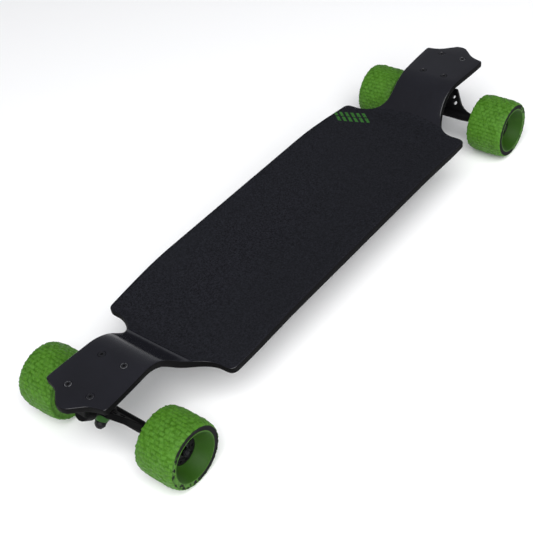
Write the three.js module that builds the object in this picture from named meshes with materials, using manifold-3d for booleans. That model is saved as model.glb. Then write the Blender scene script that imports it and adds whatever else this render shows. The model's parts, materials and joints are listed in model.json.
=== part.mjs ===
// All-terrain drop-deck longboard: a black wooden deck on two reverse-kingpin trucks
// with four knobbly green wheels. Millimetres, +Z up, +Y towards the nose, +X to the
// rider's right. The origin is on the ground, midway between the axles.

import * as THREE from 'three';
import { mergeVertices } from 'three/addons/utils/BufferGeometryUtils.js';
import Module from 'manifold-3d';

const wasm = await Module();
wasm.setup();

// ---------- driving dimensions ----------

const GAP = 0.3; // air kept between neighbouring pieces
const DEG = Math.PI / 180;

// deck
const DECK_THICKNESS = 10.5;
const DECK_HALF_LENGTH = 506;
const END_TOP = 136; // height of the top face over the trucks
const PLATFORM_TOP = 91; // height of the top face where the rider stands
const PLATFORM_HALF_WIDTH = 123.2;
const DROP_START = 306; // the drop starts to rise this far from the middle
const DROP_SLOPE = 42 * DEG;
const DROP_LOWER_RADIUS = 55; // bend at the foot of the drop
const DROP_UPPER_RADIUS = 66; // and at its crest
const CONCAVE = 11.2; // how far the side rails stand above the centre line
const CONCAVE_FULL = 165; // full concave inside this distance from the middle
const CONCAVE_NONE = 345; // and none outside this one
const EAR_HALF_WIDTH = 119.8;
const EAR_END = 308.5; // the platform's corners end here
const EAR_CORNER = 12; // how far the rounding of each corner reaches
const CUTOUT_SIDE = 100; // the cut-out's curve starts this far from the centre line
const SHOULDER_X = 58; // the cut-out's curve turns into the neck here
const SHOULDER_Y = 333;
const WAIST = 50.3; // half width of the neck on the drop
const WAIST_Y = 364;
const TAIL_CORNER_X = 55.5;
const TAIL_CORNER_Y = 479;
const TIP_NOTCH_X = 24; // each end narrows to its tip here
const TIP_NOTCH_Y = 491.5;

// grip tape
const GRIP_THICKNESS = 0.9;
const GRIP_INSET = 1.5;
const GRIP_REAR_END = 326.5; // ends of the sheet on the centre line
const GRIP_FRONT_END = 330.5;
const GRIP_NECK_HALF_WIDTH = 60; // half width of the sheet where it ends
const GRIP_REAR_BOW = 1; // how far each end bows out over that width
const GRIP_FRONT_BOW = 8.5;

// trucks
const WHEELBASE = 854;
const BOLT_OFFSET = 12; // bolt pattern centre, outboard of the axle
const BOLT_SPACING_X = 41.3;
const BOLT_SPACING_Y = 63.5;
const BOLT_RADIUS = 2.5;
const BOLT_HEAD_RADIUS = 5;
const STEER_ANGLE = 40 * DEG; // steering axis above the horizontal
const WEB_ANGLE = 50 * DEG; // lean of the hanger's web
const RING_OUT = 15.3; // bushing seat centre, outboard of the axle
const RING_UP = 71.2; // and above the ground
const PIVOT_REACH = 30; // from the bushing seat to the pivot ball
const PIVOT_BALL_RADIUS = 7;
const KINGPIN_RADIUS = 4.7;
const BUSHING_RADIUS = 13.3;
const PLATE_THICKNESS = 6;
const HANGER_HALF_WIDTH = 100;
const ARM_RADIUS = 7.5;
const ARM_MIDDLE_RADIUS = 8.8;
const AXLE_RADIUS = 4;
const AXLE_HALF_LENGTH = 132;

// wheels
const WHEEL_RADIUS = 50;
const WHEEL_HALF_WIDTH = 32.5;
const WHEEL_TRACK = 226.8;
const CORE_RADIUS = 20.5;
const CORE_HALF_WIDTH = 12.6;
const CUP_RADIUS = 37;
const BEARING_RADIUS = 11;
const BEARING_WIDTH = 7;
const BEARING_FACE = 12; // outer face of each bearing from the wheel's middle

const UNDERSIDE = END_TOP - DECK_THICKNESS;
const PLATE_TOP = UNDERSIDE - GAP;
const PLATE_BOTTOM = PLATE_TOP - PLATE_THICKNESS;

// ---------- materials ----------

const finish = (color, roughness, metalness) =>
  new THREE.MeshStandardMaterial({ color, roughness, metalness });

const FINISHES = {
  lacquer: () => finish(0x2d2d33, 0.45, 0.0),
  grit: () => finish(0x22232a, 0.95, 0.0),
  urethane: () => finish(0x6fae1f, 0.5, 0.0),
  bushingGreen: () => finish(0x58b428, 0.4, 0.0),
  bushingBlack: () => finish(0x141416, 0.6, 0.0),
  blackAlloy: () => finish(0x17181a, 0.5, 0.7),
  blackNylon: () => finish(0x101012, 0.5, 0.0),
  blackSteel: () => finish(0x1c1c1f, 0.4, 0.9),
  steel: () => finish(0x9a9ca0, 0.3, 1.0),
};

// ---------- solids ----------

// a closed three.js geometry as a solid, and a solid as a geometry
function solid(geometry) {
  const bare = geometry.clone();
  bare.deleteAttribute('normal');
  bare.deleteAttribute('uv');
  const merged = mergeVertices(bare, 1e-4);
  return new wasm.Manifold(new wasm.Mesh({
    numProp: 3,
    vertProperties: new Float32Array(merged.attributes.position.array),
    triVerts: new Uint32Array(merged.index.array),
  }));
}

function geometryOf(manifold) {
  const mesh = manifold.getMesh();
  const geometry = new THREE.BufferGeometry();
  geometry.setAttribute('position', new THREE.BufferAttribute(mesh.vertProperties, 3));
  geometry.setIndex(new THREE.BufferAttribute(mesh.triVerts, 1));
  const flat = geometry.toNonIndexed();
  flat.computeVertexNormals();
  return flat;
}

const joined = (...geometries) =>
  geometryOf(geometries.map(solid).reduce((sum, next) => sum.add(next)));

const cut = (geometry, ...tools) =>
  geometryOf(tools.reduce((rest, tool) => rest.subtract(solid(tool)), solid(geometry)));

const common = (a, b) => geometryOf(solid(a).intersect(solid(b)));

// ---------- geometry helpers ----------

const point = (x, y) => new THREE.Vector2(x, y);

// moves a geometry so that its own +Y runs along a direction, from a start point
function along(geometry, start, direction) {
  const turn = new THREE.Quaternion().setFromUnitVectors(
    new THREE.Vector3(0, 1, 0), direction.clone().normalize());
  geometry.applyQuaternion(turn);
  return geometry.translate(start.x, start.y, start.z);
}

// a closed profile of [radius, distance along the axis] pairs, turned round its axis
function turned(pairs, segments = 32) {
  const points = pairs.map(([radius, height]) => point(radius, height));
  return new THREE.LatheGeometry([...points, points[0]], segments);
}

// a pin or a bar: a solid of revolution that starts and ends on its axis
function bar(pairs, segments = 24) {
  const first = point(0, pairs[0][1]);
  const last = point(0, pairs[pairs.length - 1][1]);
  const middle = pairs.map(([radius, height]) => point(radius, height));
  return new THREE.LatheGeometry([first, ...middle, last], segments);
}

const rod = (radius, low, high, segments = 24) =>
  bar([[radius, low], [radius, high]], segments);

// a washer, a bearing or a sleeve
const sleeve = (inner, outer, low, high, segments = 28) =>
  turned([[inner, low], [outer, low], [outer, high], [inner, high]], segments);

// a hexagon nut with its bore
const hexNut = (corner, bore, low, high) =>
  cut(rod(corner, low, high, 6), rod(bore, low - 1, high + 1, 12));

// a side outline of [outboard, up] pairs, extruded across the board
function acrossBoard(pairs, halfWidth) {
  const shape = new THREE.Shape(pairs.map(([out, up]) => point(out, up)));
  const geometry = new THREE.ExtrudeGeometry(shape, { depth: 2 * halfWidth, bevelEnabled: false });
  geometry.translate(0, 0, -halfWidth);
  geometry.rotateX(Math.PI / 2);
  return geometry.rotateZ(Math.PI / 2);
}

function roundedRectangle(halfX, halfY, radius) {
  const shape = new THREE.Shape();
  shape.moveTo(halfX, -halfY + radius);
  shape.absarc(halfX - radius, halfY - radius, radius, 0, Math.PI / 2);
  shape.absarc(-halfX + radius, halfY - radius, radius, Math.PI / 2, Math.PI);
  shape.absarc(-halfX + radius, -halfY + radius, radius, Math.PI, 1.5 * Math.PI);
  shape.absarc(halfX - radius, -halfY + radius, radius, 1.5 * Math.PI, 2 * Math.PI);
  return shape;
}

// 0 to 1 with a soft start and end
const smooth = (value) => {
  const t = Math.min(1, Math.max(0, value));
  return t * t * (3 - 2 * t);
};

// ---------- deck ----------

const END_RISE = END_TOP - PLATFORM_TOP;
const OUTLINE_SPAN = [60, 160]; // heights between which flat outlines are cut through the sheet

// how far a bend of a radius reaches along the board and upwards
const bend = (radius) => ({
  run: radius * Math.sin(DROP_SLOPE),
  rise: radius * (1 - Math.cos(DROP_SLOPE)),
});
const FOOT = bend(DROP_LOWER_RADIUS);
const CREST = bend(DROP_UPPER_RADIUS);
const RAMP = (END_RISE - FOOT.rise - CREST.rise) / Math.tan(DROP_SLOPE);
const DROP_END = DROP_START + FOOT.run + RAMP + CREST.run;

// the drop's rise at a distance from the middle: an arc, a straight ramp and an arc
function rise(out) {
  const past = out - DROP_START;
  const left = DROP_END - out;
  if (past <= 0) return 0;
  if (left <= 0) return END_RISE;
  if (past < FOOT.run) return DROP_LOWER_RADIUS - Math.sqrt(DROP_LOWER_RADIUS ** 2 - past ** 2);
  if (left > CREST.run) return FOOT.rise + (past - FOOT.run) * Math.tan(DROP_SLOPE);
  return END_RISE - DROP_UPPER_RADIUS + Math.sqrt(DROP_UPPER_RADIUS ** 2 - left ** 2);
}

// height of the deck's top face
function deckTop(x, y) {
  const out = Math.abs(y);
  const fade = 1 - smooth((out - CONCAVE_FULL) / (CONCAVE_NONE - CONCAVE_FULL));
  const dish = CONCAVE * fade * (x / PLATFORM_HALF_WIDTH) ** 2;
  return PLATFORM_TOP + rise(out) + dish;
}

// distances from the middle at which the slab is given a row of points
function stations() {
  const rows = [0, CONCAVE_FULL];
  for (let y = CONCAVE_FULL + 26; y < DROP_START - 20; y += 26) rows.push(y);
  for (let i = 0; i <= 8; i += 1) rows.push(DROP_START + (i / 8) * (DROP_END - DROP_START));
  rows.push(DECK_HALF_LENGTH + 10);
  return [...rows.slice(1).reverse().map((y) => -y), ...rows];
}

// a sheet that follows the deck's top face between two offsets from it
function bentSheet(low, high) {
  const rows = stations();
  const columns = 6;
  const half = PLATFORM_HALF_WIDTH + 6;
  const sheet = new THREE.BoxGeometry(2 * half, rows.length - 1, 1, columns, rows.length - 1, 1);
  const position = sheet.attributes.position;
  const middle = (rows.length - 1) / 2;
  for (let i = 0; i < position.count; i += 1) {
    const x = position.getX(i);
    const y = rows[Math.round(position.getY(i) + middle)];
    const offset = position.getZ(i) > 0 ? high : low;
    position.setXYZ(i, x, y, deckTop(x, y) + offset);
  }
  return sheet;
}

// one quarter of the deck's outline, from the side to the nose, as [x, y] points
function quarterOutline(inset) {
  const half = PLATFORM_HALF_WIDTH - inset;
  const ear = EAR_HALF_WIDTH - inset;
  const end = EAR_END - inset;
  const neck = WAIST - inset;
  const tail = TAIL_CORNER_X - inset;
  const side = new THREE.Path();
  side.moveTo(half, 0);
  side.lineTo(half, CONCAVE_FULL);
  side.quadraticCurveTo(half, CONCAVE_FULL + 85, ear, end - EAR_CORNER);
  side.quadraticCurveTo(ear, end, ear - EAR_CORNER, end);
  side.lineTo(CUTOUT_SIDE, end);
  side.bezierCurveTo(CUTOUT_SIDE - 18, end, SHOULDER_X + 8 - inset, SHOULDER_Y - 14 - inset,
    SHOULDER_X - 0.8 * inset, SHOULDER_Y - 0.6 * inset);
  side.bezierCurveTo(
    SHOULDER_X - 5 - inset, SHOULDER_Y + 8, neck, WAIST_Y - 14, neck, WAIST_Y);
  side.bezierCurveTo(neck, WAIST_Y + 26, tail - 1, TAIL_CORNER_Y - 54, tail, TAIL_CORNER_Y - 3);
  side.quadraticCurveTo(tail, TAIL_CORNER_Y, TAIL_CORNER_X - 2.5, TAIL_CORNER_Y + 0.4);
  side.quadraticCurveTo(TIP_NOTCH_X + 9, TIP_NOTCH_Y - 9, TIP_NOTCH_X, TIP_NOTCH_Y);
  side.lineTo(11, DECK_HALF_LENGTH - 3);
  side.quadraticCurveTo(7, DECK_HALF_LENGTH, 0, DECK_HALF_LENGTH);
  return side.getPoints(5);
}

function mirroredOutline(quarter) {
  const inner = quarter.slice(1, -1);
  const leftFront = [...inner].reverse().map((p) => point(-p.x, p.y));
  const leftRear = inner.map((p) => point(-p.x, -p.y));
  const rightRear = [...inner].reverse().map((p) => point(p.x, -p.y));
  const last = quarter[quarter.length - 1];
  const outline = [quarter[0], ...inner, last, ...leftFront];
  return [...outline, point(-quarter[0].x, 0), ...leftRear, point(0, -last.y), ...rightRear];
}

function prism(points, low, high) {
  const geometry = new THREE.ExtrudeGeometry(
    new THREE.Shape(points), { depth: high - low, bevelEnabled: false });
  return geometry.translate(0, 0, low);
}

// the four bolt places of one truck, numbered inner left, inner right, outer left, outer right
function boltPlaces() {
  const places = [];
  for (const along of [-1, 1]) {
    for (const across of [-1, 1]) {
      places.push([across * BOLT_SPACING_X / 2, BOLT_OFFSET + along * BOLT_SPACING_Y / 2]);
    }
  }
  return places;
}

// countersunk bolt, standing on its own axis with its head's top face at height zero
const boltProfile = (grow, length) => [
  [BOLT_RADIUS + grow, -length],
  [BOLT_RADIUS + grow, -3.2 - grow],
  [BOLT_HEAD_RADIUS + grow, -0.5],
  [BOLT_HEAD_RADIUS + grow, grow],
];

const standing = (geometry) => geometry.rotateX(Math.PI / 2);

function deckGeometry() {
  const outline = prism(mirroredOutline(quarterOutline(0)), ...OUTLINE_SPAN);
  const blank = common(bentSheet(-DECK_THICKNESS, 0), outline);
  const holes = [];
  for (const end of [-1, 1]) {
    for (const [x, out] of boltPlaces()) {
      const hole = standing(bar(boltProfile(GAP, 40), 12));
      holes.push(hole.translate(x, end * (WHEELBASE / 2 + out), END_TOP - GAP));
    }
  }
  return cut(blank, ...holes);
}

function gripGeometry() {
  const halfWidth = GRIP_NECK_HALF_WIDTH;
  const neckLine = GRIP_FRONT_END - GRIP_FRONT_BOW;
  const edge = quarterOutline(GRIP_INSET).filter((p) => p.x > halfWidth && p.y < neckLine);
  const right = [...edge.slice(1).reverse().map((p) => point(p.x, -p.y)), ...edge];
  const left = [...right].reverse().map((p) => point(-p.x, p.y));
  const front = [];
  const rear = [];
  for (let i = -4; i <= 4; i += 1) {
    const across = -i / 4;
    front.push(point(across * halfWidth, GRIP_FRONT_END - GRIP_FRONT_BOW * across ** 2));
    rear.push(point(-across * halfWidth, -GRIP_REAR_END + GRIP_REAR_BOW * across ** 2));
  }
  const outline = prism([...right, ...front, ...left, ...rear], ...OUTLINE_SPAN);
  return cut(common(bentSheet(-2, GAP + GRIP_THICKNESS), outline), bentSheet(-6, GAP));
}

// ---------- truck ----------
// Each truck is drawn with its axle along X above the origin and its outboard side to +Y.

const STEER = new THREE.Vector3(0, Math.cos(STEER_ANGLE), Math.sin(STEER_ANGLE));
const KINGPIN = new THREE.Vector3(0, Math.sin(STEER_ANGLE), -Math.cos(STEER_ANGLE));
const RING = new THREE.Vector3(0, RING_OUT, RING_UP);
const PIVOT = RING.clone().addScaledVector(STEER, PIVOT_REACH);
const ACROSS = new THREE.Vector3(1, 0, 0);

// stations along the kingpin, measured from the bushing seat's centre and positive downwards
const SEAT_HALF = 5;
const BOARDSIDE_TOP = -18;
const BOSS_FACE = -20;
const HEAD_FACE = -40;
const ROADSIDE_BOTTOM = 16;
const NUT_TOP = 17.8;
const NUT_BOTTOM = 25.5;

const onKingpin = (geometry) => along(geometry, RING, KINGPIN);
const onPivot = (geometry) => along(geometry, PIVOT, STEER);

function baseplateGeometry() {
  const plate = new THREE.ExtrudeGeometry(
    roundedRectangle(28, 40, 9), { depth: PLATE_THICKNESS, bevelEnabled: false, curveSegments: 4 });
  plate.translate(0, BOLT_OFFSET + 1.5, PLATE_BOTTOM);
  const foot = PLATE_BOTTOM + 1;
  const wedge = acrossBoard([[-26, foot], [-22, 100], [-9.3, 77.5], [12.1, 95.5], [18, foot]], 14.5);
  const housing = onPivot(rod(13.5, -2.2, 15, 20));
  const rib = acrossBoard([[20, foot], [27, 99.5], [44, 92], [55, 99], [52, foot]], 12);
  const tools = [
    onKingpin(rod(KINGPIN_RADIUS + GAP, HEAD_FACE - 1, BOSS_FACE + 2, 16)),
    onKingpin(rod(8.4, HEAD_FACE - 45, HEAD_FACE, 16)),
    onPivot(rod(10.6, -14, 10.3, 20)),
  ];
  for (const [x, out] of boltPlaces()) {
    tools.push(standing(rod(BOLT_RADIUS + GAP, -20, 20, 12)).translate(x, out, PLATE_TOP));
  }
  return cut(joined(plate, wedge, housing, rib), ...tools);
}

function pivotCupGeometry() {
  const bore = PIVOT_BALL_RADIUS + 2 * GAP;
  const pairs = [[bore, -2], [10.2, -2], [10.2, 10], [0, 10]];
  for (let i = 0; i <= 4; i += 1) {
    const angle = (i / 4) * Math.PI / 2;
    pairs.push([bore * Math.sin(angle), bore * Math.cos(angle)]);
  }
  return onPivot(turned(pairs, 16));
}

function kingpinGeometry() {
  const head = rod(7.9, HEAD_FACE - 6, HEAD_FACE - GAP, 6);
  const shank = rod(KINGPIN_RADIUS, HEAD_FACE - 1, NUT_BOTTOM + 2, 16);
  return onKingpin(joined(head, shank));
}

const BORE = KINGPIN_RADIUS + 1.5 * GAP;

const truckSmallPieces = {
  kingpin_nut: [() => onKingpin(hexNut(8, BORE, NUT_TOP, NUT_BOTTOM)), 'blackSteel'],
  cup_washer_upper: [() => onKingpin(turned([
    [BORE, BOSS_FACE + GAP], [15, BOSS_FACE + GAP], [15, BOARDSIDE_TOP + 2],
    [BUSHING_RADIUS + GAP, BOARDSIDE_TOP + 2], [BUSHING_RADIUS + GAP, BOARDSIDE_TOP - GAP],
    [BORE, BOARDSIDE_TOP - GAP],
  ], 18)), 'blackSteel'],
  cup_washer_lower: [() => onKingpin(
    sleeve(BORE, 9, ROADSIDE_BOTTOM + GAP, NUT_TOP - GAP, 18)), 'blackSteel'],
  bushing_boardside: [() => onKingpin(
    sleeve(BORE, BUSHING_RADIUS, BOARDSIDE_TOP, -SEAT_HALF - GAP, 18)), 'bushingBlack'],
  bushing_roadside: [() => onKingpin(turned([
    [BORE, SEAT_HALF + GAP], [BUSHING_RADIUS, SEAT_HALF + GAP],
    [9, ROADSIDE_BOTTOM], [BORE, ROADSIDE_BOTTOM],
  ], 18)), 'bushingGreen'],
};

// the hanger's web in its own plane: x across the board, y up the slope from the axle
function webShape() {
  const edge = new THREE.Path();
  edge.moveTo(66, -ARM_RADIUS + 1);
  edge.lineTo(66, ARM_RADIUS - 1);
  edge.bezierCurveTo(48, 8, 38, 17, 33, 25);
  edge.bezierCurveTo(29, 31, 24, 38, 20.6, 43);
  edge.lineTo(15, 42);
  const right = edge.getPoints(4);
  const left = [...right].reverse().map((p) => point(-p.x, p.y));
  const shape = new THREE.Shape([...right, ...left]);
  for (const side of [-1, 1]) {
    for (const [x, up, radius] of [[20.3, 27.9, 3.5], [26.3, 18.2, 4]]) {
      shape.holes.push(new THREE.Path().absarc(side * x, up, radius, 0, 2 * Math.PI, true));
    }
  }
  return shape;
}

function hangerGeometry() {
  const thickness = 9;
  const web = new THREE.ExtrudeGeometry(
    webShape(), { depth: thickness, bevelEnabled: false, curveSegments: 4 });
  web.translate(0, 0, -thickness / 2);
  web.rotateX(WEB_ANGLE);
  web.translate(0, 0, WHEEL_RADIUS);
  const arms = along(bar([
    [ARM_RADIUS, -HANGER_HALF_WIDTH], [ARM_RADIUS, -62], [ARM_MIDDLE_RADIUS, -48],
    [ARM_MIDDLE_RADIUS, 48], [ARM_RADIUS, 62], [ARM_RADIUS, HANGER_HALF_WIDTH],
  ], 12), new THREE.Vector3(0, 0, WHEEL_RADIUS), ACROSS);
  const seat = onKingpin(rod(16.5, -SEAT_HALF, SEAT_HALF, 20));
  const ball = [];
  for (let i = 0; i <= 6; i += 1) {
    const angle = (144 - i * 24) * DEG;
    ball.push([PIVOT_BALL_RADIUS * Math.sin(angle), PIVOT_BALL_RADIUS * Math.cos(angle)]);
  }
  const stem = onPivot(bar([[8, -18], [8, -14.5], ...ball], 14));
  return cut(
    joined(web, arms, seat, stem),
    onKingpin(rod(7.4, -14, 14, 14)),
    onKingpin(rod(BUSHING_RADIUS + 1, -30, -SEAT_HALF, 18)),
    onKingpin(rod(BUSHING_RADIUS + 1, SEAT_HALF, 40, 18)),
    along(rod(AXLE_RADIUS + GAP, -120, 120, 12), new THREE.Vector3(0, 0, WHEEL_RADIUS), ACROSS),
  );
}

// ---------- wheel ----------
// Each wheel is drawn round its own axis, with its outer side to the positive end.

function tyreGeometry() {
  const half = [
    [CORE_RADIUS + 1.5, CORE_HALF_WIDTH + GAP],
    [CUP_RADIUS, WHEEL_HALF_WIDTH],
    [44.3, WHEEL_HALF_WIDTH],
    [48, WHEEL_HALF_WIDTH - 7],
    [WHEEL_RADIUS, WHEEL_HALF_WIDTH - 15],
  ];
  const inner = half.map(([radius, height]) => [radius, -height]);
  const bond = CORE_RADIUS + 2 * GAP;
  return turned([
    [bond, CORE_HALF_WIDTH + GAP], [bond, -CORE_HALF_WIDTH - GAP], ...inner, ...half.reverse(),
  ], 32);
}

function coreGeometry() {
  const seat = BEARING_RADIUS + GAP;
  const shelf = BEARING_FACE - BEARING_WIDTH - GAP;
  return turned([
    [seat, CORE_HALF_WIDTH], [seat, shelf], [8.5, shelf], [8.5, -shelf], [seat, -shelf],
    [seat, -CORE_HALF_WIDTH], [CORE_RADIUS, -CORE_HALF_WIDTH], [CORE_RADIUS, CORE_HALF_WIDTH],
  ], 20);
}

const bearingGeometry = (side) => {
  const near = BEARING_FACE - BEARING_WIDTH;
  const [low, high] = side > 0 ? [near, BEARING_FACE] : [-BEARING_FACE, -near];
  return sleeve(AXLE_RADIUS + GAP, BEARING_RADIUS, low, high, 16);
};

const wheelPieces = {
  tyre: [tyreGeometry, 'urethane'],
  wheel_core: [coreGeometry, 'blackNylon'],
  bearing_inner: [() => bearingGeometry(-1), 'steel'],
  bearing_outer: [() => bearingGeometry(1), 'steel'],
  axle_nut: [() => hexNut(7.4, AXLE_RADIUS + GAP, BEARING_FACE + 0.6, BEARING_FACE + 6), 'steel'],
};

// ---------- assembly ----------

const board = new THREE.Group();

function place(parent, name, geometry, look) {
  const mesh = new THREE.Mesh(geometry, FINISHES[look]());
  mesh.name = name;
  parent.add(mesh);
  return mesh;
}

place(board, 'deck', deckGeometry(), 'lacquer');
place(board, 'grip_tape', gripGeometry(), 'grit');

const shapes = {
  bolt: standing(bar(boltProfile(0, 24.5), 12)),
  nut: standing(hexNut(4.6, BOLT_RADIUS + GAP, -5, 0)),
  baseplate: baseplateGeometry(),
  pivotCup: pivotCupGeometry(),
  kingpin: kingpinGeometry(),
  hanger: hangerGeometry(),
  axle: along(rod(AXLE_RADIUS, -AXLE_HALF_LENGTH, AXLE_HALF_LENGTH, 12),
    new THREE.Vector3(0, 0, WHEEL_RADIUS), ACROSS),
};

for (const [end, turn] of [['front', 0], ['rear', Math.PI]]) {
  const truck = new THREE.Group();
  truck.position.y = (end === 'front' ? 1 : -1) * WHEELBASE / 2;
  truck.rotation.z = turn;
  board.add(truck);

  boltPlaces().forEach(([x, out], i) => {
    place(truck, `mounting_bolt_${end}_${i + 1}`, shapes.bolt, 'blackSteel')
      .position.set(x, out, END_TOP - GAP);
    place(truck, `lock_nut_${end}_${i + 1}`, shapes.nut, 'blackSteel')
      .position.set(x, out, PLATE_BOTTOM - GAP);
  });

  place(truck, `baseplate_${end}`, shapes.baseplate, 'blackAlloy');
  place(truck, `pivot_cup_${end}`, shapes.pivotCup, 'blackNylon');
  place(truck, `kingpin_${end}`, shapes.kingpin, 'blackSteel');
  for (const [name, [make, look]] of Object.entries(truckSmallPieces)) {
    place(truck, `${name}_${end}`, make(), look);
  }
  place(truck, `hanger_${end}`, shapes.hanger, 'blackAlloy');
  place(truck, `axle_${end}`, shapes.axle, 'steel');

  for (const side of [-1, 1]) {
    const hand = side * (end === 'front' ? 1 : -1) > 0 ? 'right' : 'left';
    const wheel = new THREE.Group();
    wheel.position.set(side * WHEEL_TRACK / 2, 0, WHEEL_RADIUS);
    wheel.rotation.z = -side * Math.PI / 2;
    truck.add(wheel);
    for (const [name, [make, look]] of Object.entries(wheelPieces)) {
      place(wheel, `${name}_${end}_${hand}`, make(), look);
    }
  }
}

export default board;
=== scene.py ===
# %% [markdown]
# # A drop-deck longboard with knobby wheels
# The board is a bent plywood deck, a sheet of grip tape, two reverse-kingpin trucks and four soft
# green wheels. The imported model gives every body, joint and size. This script makes the visible
# pieces in the same place, one kind of piece at a time, and gives each its finish.

# %% Load the frame
import json
import math

import bpy
from mathutils import Matrix, Vector


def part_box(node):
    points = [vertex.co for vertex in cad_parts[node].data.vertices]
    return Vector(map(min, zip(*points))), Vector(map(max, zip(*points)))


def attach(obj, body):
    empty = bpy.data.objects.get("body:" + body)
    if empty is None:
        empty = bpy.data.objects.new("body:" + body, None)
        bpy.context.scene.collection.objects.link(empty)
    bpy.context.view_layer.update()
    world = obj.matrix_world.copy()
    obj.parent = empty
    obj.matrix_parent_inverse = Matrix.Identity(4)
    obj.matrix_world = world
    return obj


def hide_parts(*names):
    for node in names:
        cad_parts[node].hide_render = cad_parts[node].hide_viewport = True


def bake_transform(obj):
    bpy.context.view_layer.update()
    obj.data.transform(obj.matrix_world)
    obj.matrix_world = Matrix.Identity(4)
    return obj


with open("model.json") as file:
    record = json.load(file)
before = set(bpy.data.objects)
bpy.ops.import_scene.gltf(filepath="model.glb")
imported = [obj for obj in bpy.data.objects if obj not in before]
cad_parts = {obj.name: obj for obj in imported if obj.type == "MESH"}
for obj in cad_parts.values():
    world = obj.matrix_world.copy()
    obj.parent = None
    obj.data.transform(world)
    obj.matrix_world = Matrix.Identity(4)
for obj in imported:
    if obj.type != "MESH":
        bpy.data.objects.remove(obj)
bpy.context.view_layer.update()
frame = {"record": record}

# %% [markdown]
# Operators work on whatever is selected, so a small helper selects a single object. The others
# read a node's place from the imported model. Drawn sizes are in millimetres, Blender's in metres.

# %% Selection and units
MM = 0.001


def only(piece):
    """Select one object and make it the active one."""
    bpy.ops.object.select_all(action="DESELECT")
    piece.select_set(True)
    bpy.context.view_layer.objects.active = piece
    return piece


def corners(node):
    """The lowest and highest corner of a node, as vectors."""
    low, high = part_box(node)
    return Vector(low), Vector(high)


def middle(node):
    """The centre of a node's box."""
    low, high = corners(node)
    return (low + high) / 2


def top_of(node):
    """The middle of the top of a node's box."""
    low, high = corners(node)
    return (low.x + high.x) / 2, (low.y + high.y) / 2, high.z


bpy.ops.object.select_all(action="DESELECT")
print("deck box:", [tuple(round(v, 4) for v in c) for c in corners("deck")])

# %% [markdown]
# Editing by place needs a way to pick points, edges or faces in code. The helper opens edit mode
# with nothing selected, picks what passes a test, and leaves the piece open for an operator.

# %% Editing helpers
SMOOTH_BELOW = math.radians(40)
MERGE_GAP = 0.00001


def pick(piece, kind, wanted):
    """Select the verts, edges or polygons of a piece that pass a test, in edit mode."""
    only(piece)
    bpy.ops.object.mode_set(mode="EDIT")
    bpy.ops.mesh.select_mode(type={"vertices": "VERT", "edges": "EDGE", "polygons": "FACE"}[kind])
    bpy.ops.mesh.select_all(action="DESELECT")
    bpy.ops.object.mode_set(mode="OBJECT")
    for item in getattr(piece.data, kind):
        item.select = wanted(item)
    bpy.ops.object.mode_set(mode="EDIT")


def close_edit():
    """Leave edit mode."""
    bpy.ops.object.mode_set(mode="OBJECT")


def clean(piece, gap=MERGE_GAP):
    """Merge doubled points and turn all faces outwards."""
    only(piece)
    bpy.ops.object.mode_set(mode="EDIT")
    bpy.ops.mesh.select_all(action="SELECT")
    bpy.ops.mesh.remove_doubles(threshold=gap)
    bpy.ops.mesh.normals_make_consistent(inside=False)
    close_edit()
    return piece


def modify(piece, kind, **settings):
    """Add a modifier, set it up and apply it."""
    only(piece)
    step = piece.modifiers.new(kind.title(), kind)
    for key, value in settings.items():
        setattr(step, key, value)
    bpy.ops.object.modifier_apply(modifier=step.name)
    return piece


def smooth(piece):
    """Shade a piece smooth, but not over its sharper edges."""
    only(piece)
    bpy.ops.object.shade_smooth_by_angle(angle=SMOOTH_BELOW)
    return piece


def soften(piece, width, segments=2, angle=30):
    """Round the sharp edges of a piece and shade it smooth."""
    modify(piece, "BEVEL", width=width, segments=segments, limit_method="ANGLE",
           angle_limit=math.radians(angle), use_clamp_overlap=True)
    return smooth(piece)


def join(parts, whole_piece):
    """Join pieces into one of them."""
    bpy.ops.object.select_all(action="DESELECT")
    for part in (*parts, whole_piece):
        part.select_set(True)
    bpy.context.view_layer.objects.active = whole_piece
    bpy.ops.object.join()
    return whole_piece


# %% [markdown]
# Many pieces of a truck and a wheel are turned parts: a profile swept round an axis. One ring of
# points is placed on the profile and the spin operator turns it. Standing the piece along an axis
# comes last, and applying that leaves the object itself at the origin.

# %% Turned pieces
def turned(name, profile, steps=48):
    """Spin a closed profile of (radius, height) pairs in millimetres round Z."""
    bpy.ops.object.select_all(action="DESELECT")
    bpy.ops.mesh.primitive_circle_add(vertices=len(profile), radius=0.01)
    piece = bpy.context.object
    piece.name = piece.data.name = name
    for point, (radius, height) in zip(piece.data.vertices, profile):
        point.co = (radius * MM, 0, height * MM)
    bpy.ops.object.mode_set(mode="EDIT")
    bpy.ops.mesh.select_all(action="SELECT")
    bpy.ops.mesh.spin(steps=steps, angle=math.tau, center=(0, 0, 0), axis=(0, 0, 1))
    close_edit()
    return clean(piece)


def stand(piece, place, direction):
    """Turn a piece drawn round Z along a direction, move it and apply both."""
    piece.rotation_mode = "QUATERNION"
    piece.rotation_quaternion = Vector((0, 0, 1)).rotation_difference(Vector(direction))
    piece.location = place
    only(piece)
    bpy.ops.object.transform_apply(location=True, rotation=True, scale=True)
    piece.rotation_mode = "XYZ"
    return piece


def twin(piece, name):
    """A copy of a piece with a mesh of its own."""
    copy = bpy.data.objects.new(name, piece.data.copy())
    copy.data.name = name
    bpy.context.scene.collection.objects.link(copy)
    return copy


def cut_with(piece, tool, operation="DIFFERENCE"):
    """Cut a piece with a tool, or keep what they share, and remove the tool."""
    modify(piece, "BOOLEAN", operation=operation, solver="EXACT", object=tool)
    bpy.data.objects.remove(tool)
    return piece


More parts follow.
